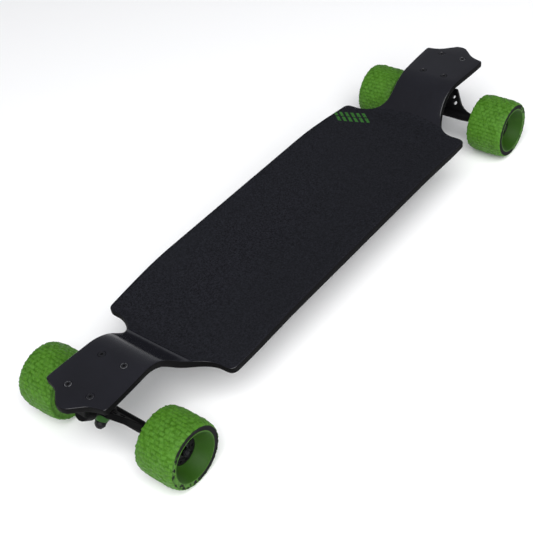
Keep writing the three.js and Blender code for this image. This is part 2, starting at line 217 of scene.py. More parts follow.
def block(name, size, place=(0, 0, 0)):
    """A cube scaled to a size in millimetres at a place in millimetres."""
    bpy.ops.object.select_all(action="DESELECT")
    bpy.ops.mesh.primitive_cube_add(size=1, location=Vector(place) * MM)
    piece = bpy.context.object
    piece.name = piece.data.name = name
    piece.scale = Vector(size) * MM
    bpy.ops.object.transform_apply(location=True, rotation=True, scale=True)
    return piece


def round_bar(name, radius, low, high, sides=6, across=0.0):
    """An upright cylinder in millimetres, with its middle a distance along X."""
    bpy.ops.object.select_all(action="DESELECT")
    bpy.ops.mesh.primitive_cylinder_add(
        vertices=sides, radius=radius * MM, depth=(high - low) * MM,
        location=(across * MM, 0, (low + high) / 2 * MM))
    piece = bpy.context.object
    piece.name = piece.data.name = name
    bpy.ops.object.transform_apply(location=True, rotation=True, scale=True)
    return piece


def ring_of(piece, count):
    """Repeat what a mesh holds evenly round Z, with the spin operator's copies."""
    only(piece)
    bpy.ops.object.mode_set(mode="EDIT")
    bpy.ops.mesh.select_all(action="SELECT")
    bpy.ops.mesh.spin(steps=count - 1, angle=math.tau * (count - 1) / count, dupli=True,
                      center=(0, 0, 0), axis=(0, 0, 1))
    close_edit()
    return piece


def finished(piece, body, slot, finishes, *nodes):
    """Give a piece its finishes, its body (None leaves it unattached) and its nodes. The slot is not used.
    """
    finish_of_faces = [min(face.material_index, len(finishes) - 1) for face in piece.data.polygons]
    piece.data.materials.clear()
    for one in finishes:
        piece.data.materials.append(one)
    piece.data.polygons.foreach_set("material_index", finish_of_faces)
    if body:
        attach(piece, body)
    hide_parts(*nodes)
    return piece


# %% [markdown]
# Finishes are written as sums. A wire stands for a socket, and adding or multiplying wires adds
# the Math nodes. Every other node comes from one method, which sets a node up before it links it.

# %% Wires and finishes
class Wire:
    """A socket of a finish in the making."""

    def __init__(self, finish, socket):
        self.finish, self.socket = finish, socket

    def maths(self, operation, first, second=0.0):
        return self.finish.node("ShaderNodeMath", {"operation": operation}, {0: first, 1: second})

    def __add__(self, other):
        return self.maths("ADD", self, other)

    def __sub__(self, other):
        return self.maths("SUBTRACT", self, other)

    def __rsub__(self, other):
        return self.maths("SUBTRACT", other, self)

    def __mul__(self, other):
        return self.maths("MULTIPLY", self, other)

    def __mod__(self, other):
        return self.maths("FLOORED_MODULO", self, other)

    def __pow__(self, other):
        return self.maths("POWER", self, other)

    def __gt__(self, other):
        return self.maths("GREATER_THAN", self, other)

    def __lt__(self, other):
        return self.maths("LESS_THAN", self, other)

    def __abs__(self):
        return self.maths("ABSOLUTE", self)

    __radd__ = __add__


class Finish:
    """A material with one principled shader."""

    def __init__(self, name, **constants):
        self.material = bpy.data.materials.new(name)
        self.material.use_nodes = True
        self.tree = self.material.node_tree
        self.shader = self.tree.nodes["Principled BSDF"]
        for key, value in constants.items():
            self.shader.inputs[key.replace("_", " ")].default_value = value

    def node(self, kind, settings=None, inputs=None, output=0):
        """Add a node, set it up, fill its sockets and return one output as a wire."""
        node = self.tree.nodes.new(kind)
        for key, value in (settings or {}).items():
            setattr(node, key, value)
        for key, value in (inputs or {}).items():
            if isinstance(value, Wire):
                self.tree.links.new(value.socket, node.inputs[key])
            else:
                node.inputs[key].default_value = value
        return Wire(self, node.outputs[output])

    def set(self, **wires):
        """Link wires to the shader's sockets."""
        for key, wire in wires.items():
            self.tree.links.new(wire.socket, self.shader.inputs[key.replace("_", " ")])

    def place(self):
        """The point on the piece, in metres."""
        return self.node("ShaderNodeTexCoord", output="Object")

    def part(self, vector, axis):
        """One coordinate of a vector."""
        return self.node("ShaderNodeSeparateXYZ", inputs={0: vector}, output=axis)

    def noise(self, scale, detail=3.0, rough=0.5, vector=None):
        """A noise from 0 to 1."""
        return self.node("ShaderNodeTexNoise", inputs={
            "Vector": vector or self.place(), "Scale": scale, "Detail": detail, "Roughness": rough})

    def ease(self, value, low, high):
        """0 below low and 1 above high, with a soft step between them."""
        return self.node("ShaderNodeMapRange", {"interpolation_type": "SMOOTHSTEP"}, {
            "Value": value, "From Min": low, "From Max": high})

    def mix(self, factor, first, second):
        """From one colour to another."""
        return self.node("ShaderNodeMix", {"data_type": "RGBA"}, {0: factor, 6: first, 7: second}, 2)

    def attribute(self, name):
        """A number stored on the piece's points."""
        return self.node("ShaderNodeAttribute", {"attribute_name": name}, output="Fac")

    def bump(self, height, strength, distance):
        """Small relief that feeds the shader's normal."""
        self.set(Normal=self.node("ShaderNodeBump", inputs={
            "Height": height, "Strength": strength, "Distance": distance}))


def colour(red, green, blue):
    """A colour from its usual 0 to 255 numbers."""
    linear = [((c / 255 + 0.055) / 1.055) ** 2.4 if c > 10 else c / 255 / 12.92
              for c in (red, green, blue)]
    return (*linear, 1.0)


# %% [markdown]
# ## Stage
# A pale floor, a white surround and large soft lamps make an even studio light. The lacquer on
# the ends shows a soft sheen, so the surround is bright low down where it mirrors it. The camera
# looks down on the right-hand side of the tail.

# %% Floor and surround
bpy.ops.mesh.primitive_plane_add(size=30, location=(0, 0, 0))
floor = bpy.context.object
floor.name = "floor"
paper = Finish("pale_floor", Base_Color=colour(250, 250, 250), Roughness=0.9, Specular_IOR_Level=0.1)
floor.data.materials.append(paper.material)

world = bpy.data.worlds.new("white_surround")
bpy.context.scene.world = world
world.use_nodes = True
sky = world.node_tree
heading = sky.nodes.new("ShaderNodeTexCoord")
parts = sky.nodes.new("ShaderNodeSeparateXYZ")
fade = sky.nodes.new("ShaderNodeValToRGB")
HORIZON, OVERHEAD = 0.6, 0.25
for place, level in ((0.09, 0.46), (0.2, 0.32), (0.6, OVERHEAD)):
    stop = fade.color_ramp.elements.new(place)
    stop.color = (level, level, level, 1.0)
for stop, level in ((fade.color_ramp.elements[0], HORIZON), (fade.color_ramp.elements[-1], OVERHEAD)):
    stop.color = (level, level, level, 1.0)
sky.links.new(heading.outputs["Generated"], parts.inputs[0])
sky.links.new(parts.outputs[2], fade.inputs[0])
sky.links.new(fade.outputs[0], sky.nodes["Background"].inputs[1])
sky.nodes["Background"].inputs[0].default_value = (0.92, 0.94, 1.0, 1.0)
bpy.context.scene.view_settings.view_transform = "Standard"


# %% Lamps
def lamp(name, place, aim, width, power):
    """A square soft lamp that points at a spot."""
    light = bpy.data.lights.new(name, "AREA")
    light.shape, light.size, light.energy = "SQUARE", width, power
    holder = bpy.data.objects.new(name, light)
    bpy.context.scene.collection.objects.link(holder)
    way = Vector(aim) - Vector(place)
    holder.matrix_world = Matrix.Translation(place) @ way.to_track_quat("-Z", "Y").to_matrix().to_4x4()


lamp("main_lamp", (1.9, -1.8, 3.2), (0, 0, 0), 4.5, 305)
lamp("side_lamp", (2.6, 1.2, 1.2), (0, 0, 0.05), 1.6, 8)

# %% Camera
AZIMUTH, ELEVATION, ROLL = math.radians(43.348), math.radians(40.368), math.radians(-8.527)
DISTANCE = 1.64474
AIM = Vector((0, -0.08659, 0.05846))
back = Vector((math.sin(AZIMUTH) * math.cos(ELEVATION),
               -math.cos(AZIMUTH) * math.cos(ELEVATION), math.sin(ELEVATION)))
right = (-back).cross(Vector((0, 0, 1))).normalized()
above = right.cross(-back)
side = right * math.cos(ROLL) + above * math.sin(ROLL)
top = above * math.cos(ROLL) - right * math.sin(ROLL)
turn = Matrix((side, top, back)).transposed().to_4x4()

camera = bpy.data.objects.new("camera", bpy.data.cameras.new("camera"))
bpy.context.scene.collection.objects.link(camera)
camera.data.sensor_width, camera.data.lens = 36.0, 72.147
camera.matrix_world = Matrix.Translation(AIM + back * DISTANCE) @ turn
bpy.context.scene.camera = camera
print("camera at", tuple(round(v, 3) for v in camera.matrix_world.translation))

# %% [markdown]
# ## Finishes
# The deck is sealed with a dark satin lacquer. It has a faint cloudiness, fine scuffs and a
# slightly browner edge where the stained plies show as thin lines.

# %% Deck lacquer
lacquer = Finish("deck_lacquer", Specular_IOR_Level=0.42)
cloud = lacquer.noise(9.0, 4.0, 0.6)
scuff = lacquer.ease(lacquer.noise(140.0, 6.0, 0.7), 0.56, 0.72)
tone = lacquer.mix(lacquer.ease(cloud, 0.3, 0.7), colour(18, 18, 23), colour(23, 23, 29))
lacquer.set(Base_Color=lacquer.mix(scuff * 0.12, tone, colour(48, 48, 54)),
            Roughness=0.17 + cloud * 0.05 + scuff * 0.02)

edge_stain = Finish("deck_edge", Specular_IOR_Level=0.08)
depth = edge_stain.attribute("depth")
ply = abs((depth * 7.0) % 1.0 - 0.5) * 2.0
grain = edge_stain.noise(60.0, 5.0, 0.7)
stain = edge_stain.mix(edge_stain.ease(ply, 0.72, 0.95), colour(5, 5, 6), colour(11, 10, 10))
rub = edge_stain.ease(depth + grain * 0.25, 0.98, 1.12)
edge_stain.set(Base_Color=edge_stain.mix(rub * 0.3, stain, colour(52, 49, 47)),
               Roughness=0.6 + grain * 0.16)
edge_stain.bump(ply * 0.6 + grain * 0.4, 0.15, 0.0002)

# %% [markdown]
# Grip tape is coarse black grit in glue. Single grains catch the light, so the colour is
# speckled at the size of a grain and the relief is deep for its size. A plain mark of slanted
# bars is printed near the nose end.

# %% Grip tape
MARK_CENTRE, MARK_TURN = (-85 * MM, 277 * MM, 0.0), math.radians(25)
BAR_PITCH, BAR_WIDTH = 0.0100, 0.0056
MARK_HALF_LENGTH, MARK_HALF_HEIGHT, SPLIT_HALF = 0.0300, 0.0140, 0.0012
grit = Finish("grip_grit", Specular_IOR_Level=0.1)
fine = grit.noise(900.0, 2.0, 0.7)
coarse = grit.noise(330.0, 3.0, 0.8)
patch = grit.noise(7.0, 3.0)
grains = grit.ease(fine * 0.45 + coarse * 0.55, 0.36, 0.66)
sheet_tone = grit.mix(grains, colour(8, 8, 11), colour(33, 34, 40))
sheet_tone = grit.mix(grit.ease(patch, 0.35, 0.75) * 0.35, sheet_tone, colour(24, 25, 29))
mark = grit.node("ShaderNodeMapping", {"vector_type": "TEXTURE"}, {
    "Vector": grit.place(), "Location": MARK_CENTRE, "Rotation": (0, 0, MARK_TURN)})
along, across = grit.part(mark, 0), grit.part(mark, 1)
slant = along + across * 0.5
bars = ((slant + 1.0) % BAR_PITCH < BAR_WIDTH) * (abs(slant) < MARK_HALF_LENGTH)
bars = bars * (abs(across) < MARK_HALF_HEIGHT) * (abs(across) > SPLIT_HALF)
printed = bars * grit.ease(coarse, 0.3, 0.5)
grit.set(Base_Color=grit.mix(printed, sheet_tone, colour(48, 96, 40)),
         Roughness=0.95 - grains * 0.15)
grit.bump(fine * 0.5 + coarse * 0.5, 0.6, 0.0007)

# %% [markdown]
# The wheels are cast urethane: green, a little translucent and slightly cloudy. Paler block tops are a
# painted highlight with painted shade in the grooves, and the darker cup is painted shade in its hollow.
# The flat outer ring of each carries a dark printed band, rubbed thin on one part of its turn.

# %% Wheel urethane
AXLE_PLACE = abs(middle("axle_front").y)
AXLE_HEIGHT = middle("axle_front").z
SIDEWALL = corners("tyre_front_right")[1].x
SIDEWALL_DEPTH = 0.0016
CUP_RIM, BAND_INSIDE, BAND_OUTSIDE = (0.0362, 0.0382), (0.0380, 0.0385), (0.0450, 0.0457)
LINE_RADIUS, LINE_HALF = 0.0442, 0.00028
RUBBED = (0.024, 0.036)

urethane = Finish("wheel_urethane", Subsurface_Weight=0.12, Subsurface_Radius=(0.004, 0.008, 0.002),
                  Specular_IOR_Level=0.16)
spot = urethane.place()
behind = abs(urethane.part(spot, 1)) - AXLE_PLACE
height = urethane.part(spot, 2) - AXLE_HEIGHT
outward = abs(urethane.part(spot, 0))
radius = (behind * behind + height * height) ** 0.5
haze = urethane.noise(38.0, 4.0, 0.6)
dust = urethane.ease(urethane.noise(260.0, 4.0, 0.7), 0.5, 0.75)
raised = urethane.attribute("raised")
body = urethane.mix(urethane.ease(haze, 0.3, 0.7), colour(44, 84, 6), colour(54, 98, 12))
# Tread block tops are painted paler as a painted highlight, and their bases stay darker as painted shade in
# the grooves.
body = urethane.mix(raised * 0.42, body, colour(78, 126, 36))
mottle = urethane.ease(urethane.noise(210.0, 3.0, 0.65), 0.36, 0.64)
body = urethane.mix(mottle * 0.42, body, colour(84, 133, 50))
body = urethane.mix(dust * 0.15, body, colour(84, 122, 58))
# Inside the cup rim the green is painted darker, as painted shade in the hollow.
body = urethane.mix(1.0 - urethane.ease(radius, *CUP_RIM), body, colour(30, 64, 2))
sidewall = outward > SIDEWALL - SIDEWALL_DEPTH
band_end = 1.0 - urethane.ease(radius, *BAND_OUTSIDE)
ring = urethane.ease(radius, *BAND_INSIDE) * band_end * sidewall
line = (abs(radius - LINE_RADIUS) < LINE_HALF) * sidewall
thin = urethane.ease(behind - height * 0.4 + haze * 0.02, *RUBBED)
inked = ring * (1.0 - thin * urethane.ease(urethane.noise(160.0, 2.0), 0.42, 0.5))
inked = inked + (1.0 - inked) * line * 0.8
urethane.set(Base_Color=urethane.mix(inked, body, colour(11, 11, 12)),
             Roughness=0.46 + haze * 0.14 + dust * 0.1 + inked * 0.3)
urethane.bump(haze * 0.3 + dust * 0.2, 0.2, 0.0003)

# %% [markdown]
# The cone-shaped bushing by the kingpin nut is a deeper green urethane with a softer shine. The
# barrel above it is black, like the nylon of the cores and pivot cups.

# %% Bushing urethane and nylon
bushing_look = Finish("bushing_urethane", Subsurface_Weight=0.1, Specular_IOR_Level=0.15,
                      Subsurface_Radius=(0.003, 0.008, 0.002))
swirl = bushing_look.noise(120.0, 3.0)
bushing_look.set(Base_Color=bushing_look.mix(swirl, colour(22, 64, 6), colour(32, 78, 12)),
                 Roughness=0.3 + swirl * 0.12)

nylon = Finish("core_nylon", Specular_IOR_Level=0.1)
flow = nylon.noise(90.0, 4.0, 0.6)
nylon.set(Base_Color=nylon.mix(flow, colour(4, 4, 5), colour(10, 10, 12)),
          Roughness=0.5 + flow * 0.2)
nylon.bump(nylon.noise(700.0, 2.0), 0.1, 0.0002)

# %% [markdown]
# The truck castings are powder coated in satin black, with the fine orange-peel relief of such a
# coat. The steel parts are blackened or left bare. A stored number on each screw marks its rim,
# where the black is worn through to bright steel on some of them.

# %% Powder coat and steels
powder = Finish("truck_black", Specular_IOR_Level=0.06)
peel = powder.noise(650.0, 2.0, 0.6)
age = powder.noise(24.0, 4.0, 0.6)
powder.set(Base_Color=powder.mix(powder.ease(age, 0.35, 0.7), colour(6, 6, 7), colour(12, 12, 13)),
           Roughness=0.5 + age * 0.14)
powder.bump(peel, 0.16, 0.0002)

blackened = Finish("black_steel", Specular_IOR_Level=0.3)
oil = blackened.noise(180.0, 4.0, 0.6)
rim = blackened.ease(blackened.attribute("rim"), 0.7, 0.9)
worn = rim * blackened.ease(blackened.noise(380.0, 2.0), 0.36, 0.6)
head = blackened.ease(blackened.attribute("rim"), 0.2, 0.4)
oxide = blackened.mix(head, colour(12, 12, 14), colour(30, 30, 34))
blackened.set(Base_Color=blackened.mix(worn, oxide, colour(160, 160, 164)),
              Metallic=0.3 + worn * 0.6, Roughness=0.34 + oil * 0.16)

bare = Finish("bare_steel", Metallic=1.0)
turning = bare.noise(300.0, 5.0, 0.7)
bare.set(Base_Color=bare.mix(turning, colour(20, 20, 22), colour(38, 38, 41)),
         Roughness=0.34 + turning * 0.22)

shield = Finish("bearing_shield", Specular_IOR_Level=0.2)
felt = shield.noise(200.0, 3.0)
shield.set(Base_Color=shield.mix(felt, colour(10, 10, 11), colour(20, 20, 22)),
           Roughness=0.4 + felt * 0.15)
print("finishes:", len(bpy.data.materials))

# %% [markdown]
# ## Deck
# The deck is one sheet of bent plywood: a wide, slightly dished platform between two raised ends,
# with a drop at each end. A flat plate of the outline is the simplest start. It is rounded along
# its rims while flat, cut into rows and columns, and only then bent along the drop.

# %% The outline of the deck
END_TOP = corners("deck")[1].z / MM
HALF_LENGTH = corners("deck")[1].y / MM
HALF_WIDTH = corners("deck")[1].x / MM
DECK_THICKNESS = 10.5
EAR_HALF_WIDTH, EAR_END, EAR_CORNER = 119.8, 308.5, 12.0
CONCAVE_FULL, CONCAVE_NONE, CONCAVE = 165.0, 345.0, 11.2
WAIST, WAIST_PLACE = 50.3, 364
CUTOUT_SIDE, NECK_SHOULDER, TIP_NOTCH = 100, (58, 333), (24, 491.5)


def curve(points, steps=10):
    """Points on a Bezier curve of any order, after its first one."""
    found = []
    for i in range(1, steps + 1):
        t, level = i / steps, [Vector(p) for p in points]
        while len(level) > 1:
            level = [a.lerp(b, t) for a, b in zip(level, level[1:])]
        found.append(tuple(level[0]))
    return found


def quarter(inset=0.0):
    """A quarter of the outline, from the side to the nose."""
    wide, ear = HALF_WIDTH - inset, EAR_HALF_WIDTH - inset
    end, neck = EAR_END - inset, WAIST - inset
    line = [(wide, 0), (wide, CONCAVE_FULL)]
    line += curve([line[-1], (wide, 250), (ear, end - EAR_CORNER)])
    line += curve([line[-1], (ear, end), (ear - EAR_CORNER, end)])
    line += curve([(CUTOUT_SIDE, end), (82, end), (66 - inset, 319 - inset),
                   (NECK_SHOULDER[0] - 0.8 * inset, NECK_SHOULDER[1] - 0.6 * inset)], 14)
    line += curve([line[-1], (53 - inset, 341), (neck, 350), (neck, WAIST_PLACE)])
    line += curve([line[-1], (neck, 390), (54.5 - inset, 425), (55.5 - inset, 474)])
    line += curve([line[-1], (55.5 - inset, 479.2), (51.5, 479.6)], 6)
    line += curve([line[-1], (33, 482.5), TIP_NOTCH])
    line += curve([(11, 503), (7, HALF_LENGTH), (0, HALF_LENGTH)], 6)
    return line


def whole(line):
    """The full outline from one quarter of it."""
    inner = line[1:-1]
    return (line + [(-x, y) for x, y in reversed(inner)] + [(-line[0][0], 0)]
            + [(-x, -y) for x, y in inner] + [(0, -line[-1][1])]
            + [(x, -y) for x, y in reversed(inner)])


outline = whole(quarter())
print("outline points:", len(outline))

# %% The bend of the deck
PLATFORM_TOP = 91.0
DROP_START, DROP_SLOPE, FOOT_RADIUS, CREST_RADIUS = 306.0, math.radians(42), 55.0, 66.0
foot = (FOOT_RADIUS * math.sin(DROP_SLOPE), FOOT_RADIUS * (1 - math.cos(DROP_SLOPE)))
crest = (CREST_RADIUS * math.sin(DROP_SLOPE), CREST_RADIUS * (1 - math.cos(DROP_SLOPE)))
RISE = END_TOP - PLATFORM_TOP
ramp = (RISE - foot[1] - crest[1]) / math.tan(DROP_SLOPE)
DROP_END = DROP_START + foot[0] + ramp + crest[0]


def rise(out):
    """How far the top face has risen at a distance from the middle."""
    near, far = out - DROP_START, DROP_END - out
    if near <= 0 or far <= 0:
        return 0.0 if near <= 0 else RISE
    if near < foot[0]:
        return FOOT_RADIUS - math.sqrt(FOOT_RADIUS ** 2 - near ** 2)
    if far > crest[0]:
        return foot[1] + (near - foot[0]) * math.tan(DROP_SLOPE)
    return RISE - CREST_RADIUS + math.sqrt(CREST_RADIUS ** 2 - far ** 2)


def deck_top(x, y):
    """Height of the top face."""
    t = min(1, max(0, (abs(y) - CONCAVE_FULL) / (CONCAVE_NONE - CONCAVE_FULL)))
    dish = CONCAVE * (1 - t * t * (3 - 2 * t)) * (x / HALF_WIDTH) ** 2
    return PLATFORM_TOP + rise(abs(y)) + dish


def bent(x, y, offset):
    """The point that lies a distance above the top face, square to it."""
    step = 0.5
    slope_x = (deck_top(x + step, y) - deck_top(x - step, y)) / (2 * step)
    slope_y = (deck_top(x, y + step) - deck_top(x, y - step)) / (2 * step)
    square = Vector((-slope_x, -slope_y, 1)).normalized()
    return (Vector((x, y, deck_top(x, y))) + square * offset) * MM


print("the drop ends at", round(DROP_END, 1), "mm")


# %% Plates, cuts and bending
def plate(name, points, thickness, top_round, low_round, segments=4):
    """A flat plate of an outline with its rims rounded."""
    bpy.ops.object.select_all(action="DESELECT")
    bpy.ops.mesh.primitive_circle_add(vertices=len(points), radius=0.1)
    piece = bpy.context.object
    piece.name = piece.data.name = name
    for point, (x, y) in zip(piece.data.vertices, points):
        point.co = (x * MM, y * MM, 0)
    bpy.ops.object.mode_set(mode="EDIT")
    bpy.ops.mesh.select_all(action="SELECT")
    bpy.ops.mesh.edge_face_add()
    bpy.ops.mesh.extrude_region_move(TRANSFORM_OT_translate={"value": (0, 0, -thickness * MM)})
    close_edit()
    clean(piece)
    for level, width in ((0.0, top_round), (-thickness * MM, low_round)):
        spots = piece.data.vertices
        pick(piece, "edges", lambda e: all(abs(spots[v].co.z - level) < 1e-6 for v in e.vertices))
        bpy.ops.mesh.bevel(offset=width * MM, segments=segments, affect="EDGES", clamp_overlap=False)
        close_edit()
    return piece


def divide(piece, across, along):
    """Cut a plate into columns and rows with the bisect operator."""
    only(piece)
    bpy.ops.object.mode_set(mode="EDIT")
    cuts = [((x * MM, 0, 0), (1, 0, 0)) for x in across] + [((0, y * MM, 0), (0, 1, 0)) for y in along]
    for place, square in cuts:
        bpy.ops.mesh.select_all(action="SELECT")
        bpy.ops.mesh.bisect(plane_co=place, plane_no=square)
    close_edit()
    return piece


def bend(piece, lift=0.0):
    """Bend a flat plate along the deck."""
    for point in piece.data.vertices:
        x, y, z = point.co / MM
        point.co = bent(x, y, z + lift)
    piece.data.update()
    return smooth(piece)


columns = [i * HALF_WIDTH / 9 for i in range(-8, 9)]
steps_out = [15 * i for i in range(21)] + [DROP_START + 2.8 * i for i in range(36)] + [420, 450, 475]
rows = sorted({s * y for y in steps_out for s in (-1, 1)})
print("cuts:", len(columns), "across and", len(rows), "along")

# %% Make the deck
TOP_RIM, LOW_RIM = 1.5, 2.2
deck = plate("deck_shell", outline, DECK_THICKNESS, TOP_RIM, LOW_RIM)
divide(deck, columns, rows)
marks = deck.data.attributes.new("depth", "FLOAT", "POINT")
for point, value in zip(deck.data.vertices, marks.data):
    value.value = -point.co.z / (DECK_THICKNESS * MM)
for face in deck.data.polygons:
    face.material_index = 1 if abs(face.normal.z) < 0.8 else 0
bend(deck)
print("deck faces:", len(deck.data.polygons))

# %% [markdown]
# Each screw sits in a countersunk hole. A turned tool of the screw's own shape, a little larger,
# cuts all eight.

# %% Countersinks
ENDS = ("front", "rear")
HANDS = ("left", "right")
SCREW_HEAD = 5.0
SCREW = [(0, -24.5), (2.5, -24.5), (2.5, -3.2), (SCREW_HEAD, -0.5), (SCREW_HEAD, 0), (0, 0)]
COUNTERSINK = [(0, -40), (2.8, -40), (2.8, -3.4), (5.5, -0.7), (6.3, 1.2), (0, 1.2)]
# The slots are there before the cuts, so that every face keeps its finish through them.
deck.data.materials.append(lacquer.material)
deck.data.materials.append(edge_stain.material)
for end in ENDS:
    for number in range(1, 5):
        tool = turned("tool", COUNTERSINK, 32)
        cut_with(deck, stand(tool, top_of(f"mounting_bolt_{end}_{number}"), (0, 0, 1)))
smooth(deck)
finished(deck, "deck", "deck_lacquer", [lacquer.material, edge_stain.material], "deck")
print("deck faces with holes:", len(deck.data.polygons))

# %% [markdown]
# The grip tape is cut to the platform. Its side edges follow the deck just inside the rim, and
# each end is a shallow bow across the neck.

# %% Grip sheet
GRIP_INSET, GRIP_THICKNESS, NECK_HALF = 1.5, 0.95, 60.0
side_line = [p for p in quarter(GRIP_INSET) if p[0] > NECK_HALF and p[1] < 322]
right_side = [(x, -y) for x, y in reversed(side_line[1:])] + side_line
left_side = [(-x, y) for x, y in reversed(right_side)]
bow = [i / 10 for i in range(10, -11, -1)]
front_end = [(NECK_HALF * t, 330.5 - 8.5 * t * t) for t in bow]
rear_end = [(-NECK_HALF * t, -326.5 + t * t) for t in bow]
grip = plate("grip_sheet", right_side + front_end + left_side + rear_end, GRIP_THICKNESS, 0.25, 0.1, 2)
divide(grip, columns, [y for y in rows if abs(y) < 340])
bend(grip, GRIP_THICKNESS + 0.06)
finished(grip, "deck", "grip_grit", [grit.material], "grip_tape")
print("grip faces:", len(grip.data.polygons))

# %% [markdown]
# ## Fasteners
# The deck screws are countersunk with a hexagon socket. One is modelled and copied eight times.
# Its rim number runs from 0 on the axis to 1 at the edge of the head, times that screw's wear.

# %% Deck screws
screw = turned("screw", SCREW, 32)
cut_with(screw, round_bar("socket", 2.05, -2.2, 2.0))
soften(screw, 0.15 * MM)
screw.data.attributes.new("rim", "FLOAT", "POINT")
WEAR = {"rear": (0.92, 0.72, 0.8, 0.95), "front": (0.72, 0.7, 0.8, 0.9)}
for end in ENDS:
    for number in range(1, 5):
        node = f"mounting_bolt_{end}_{number}"
        one = twin(screw, f"screw_{end}_{number}")
        for point, value in zip(one.data.vertices, one.data.attributes["rim"].data):
            reach = math.hypot(point.co.x, point.co.y) / (SCREW_HEAD * MM)
            value.value = reach * WEAR[end][number - 1] if point.co.z > -0.7 * MM else 0
        stand(one, top_of(node), (0, 0, 1))
        finished(one, "deck", "black_steel", [blackened.material], node)
bpy.data.objects.remove(screw)


# %% [markdown]
# A real nut has corners cut by a cone. A turned blank with chamfered ends, kept only where a
# hexagon bar overlaps it, gives just that shape.

# %% Nuts
def nut(name, corner, bore, low, high, collar=0.0):
    """A hexagon nut round Z with chamfered corners, and a round collar on top if it locks."""
    slope = corner * 0.13
    blank = turned(name, [(bore, low), (corner - slope * 1.6, low), (corner, low + slope),
                          (corner, high - slope), (corner - slope * 1.6, high), (bore, high)], 48)
    cut_with(blank, round_bar("hexagon", corner, low - 1, high + 1), "INTERSECT")
    if collar:
        ring = turned("collar", [(bore + 0.2, high - 0.2), (corner * 0.8, high - 0.2),
                                 (corner * 0.76, high + collar), (bore + 0.2, high + collar)], 48)
        cut_with(blank, ring, "UNION")
    return soften(blank, 0.12 * MM)


LOCK_CORNER = 4.6
lock_nut = nut("lock_nut", LOCK_CORNER, 2.8, -4.2, 0)
for end in ENDS:
    for number in range(1, 5):
        node = f"lock_nut_{end}_{number}"
        finished(stand(twin(lock_nut, f"lock_nut_{end}_{number}_shape"), top_of(node), (0, 0, 1)),
                 "deck", "black_steel", [blackened.material], node)
bpy.data.objects.remove(lock_nut)
print("lock nut:", 2 * LOCK_CORNER, "mm across its corners")


# %% [markdown]
# ## Trucks
# The hanger and the baseplate are castings. Their CAD shapes are right but crisp, while a casting
# has soft edges and fillets. A copy of each is merged, rebuilt from small voxels and smoothed,
# which rounds every edge and fills every inner corner as a mould would.

# %% Castings
CASTING_VOXEL, CASTING_ROUNDS = 0.9, 5


def casting(node, name, voxel, rounds):
    """A softened copy of a CAD node."""
    source = bpy.data.objects[node]
    piece = bpy.data.objects.new(name, source.data.copy())
    bpy.context.scene.collection.objects.link(piece)
    only(piece)
    bpy.ops.object.mode_set(mode="EDIT")
    bpy.ops.mesh.select_all(action="SELECT")
    bpy.ops.mesh.remove_doubles(threshold=MERGE_GAP)
    close_edit()
    modify(piece, "REMESH", mode="VOXEL", voxel_size=voxel * MM)
    modify(piece, "SMOOTH", factor=0.5, iterations=rounds)
    only(piece)
    bpy.ops.object.shade_smooth()
    return piece


for end in ENDS:
    for kind, body in (("hanger", f"hanger_{end}"), ("baseplate", "deck")):
        node = f"{kind}_{end}"
        cast = finished(casting(node, f"{node}_casting", CASTING_VOXEL, CASTING_ROUNDS), body, "truck_black",
                        [powder.material], node)
        print(cast.name, len(cast.data.polygons))

# %% [markdown]
# The bushings, washers, kingpin and nut all sit on the kingpin's axis, square to the steering
# axis that the imported joints give. Each is drawn with its axis upright, positive towards the nut.
# A real bushing is squeezed between a washer that stays and the hanger that tilts. Here both
# bushings are left without a body, with their place baked into the mesh. A bushing's bore opens
# towards the hanger to give the kingpin room when the hanger tilts.

# %% The kingpin stack
joints = {joint["name"]: joint for joint in frame["record"]["behaviour"]["joints"]}
BORE, OPEN_BORE = 5.15, 6.8
KINGPIN_RADIUS, THREAD_ROOT, THREAD_START, PITCH = 4.7, 4.25, 12.0, 1.7
PIVOT_DISTANCE = 0.030
thread = []
for i in range(9):
    thread += [(THREAD_ROOT, THREAD_START + PITCH * i), (KINGPIN_RADIUS, 12.85 + PITCH * i)]
stack = {
    "kingpin": ("black_steel", blackened, [
        (0, -40), (KINGPIN_RADIUS, -40), (KINGPIN_RADIUS, 11.5), *thread, (4.1, 27.4), (0, 27.6)]),
    "cup_washer_upper": ("black_steel", blackened, [
        (BORE, -19.7), (14.4, -19.7), (15, -19.1), (15, -16.2), (13.7, -16.0), (13.6, -18.3),
        (BORE, -18.3)]),
    "cup_washer_lower": ("black_steel", blackened, [
        (BORE, 16.3), (8.6, 16.3), (9, 16.7), (9, 17.2), (8.8, 17.5), (BORE, 17.5)]),
    "bushing_boardside": ("bushing_black", nylon, [
        (BORE, -18), (12.4, -18), (13.2, -17.2), (13.3, -15), (13.0, -11.5), (13.3, -8), (13.2, -6.1),
        (12.4, -5.3), (OPEN_BORE, -5.3)]),
    "bushing_roadside": ("bushing_urethane", bushing_look, [
        (OPEN_BORE, 5.3), (12.5, 5.3), (13.2, 6.0), (13.0, 7.2), (9.6, 15.0), (9.0, 15.9),
        (8.4, 16), (BORE, 16)]),
}
SQUEEZED = {"bushing_boardside": (-17.5, -5.8), "bushing_roadside": (15.5, 5.8)}
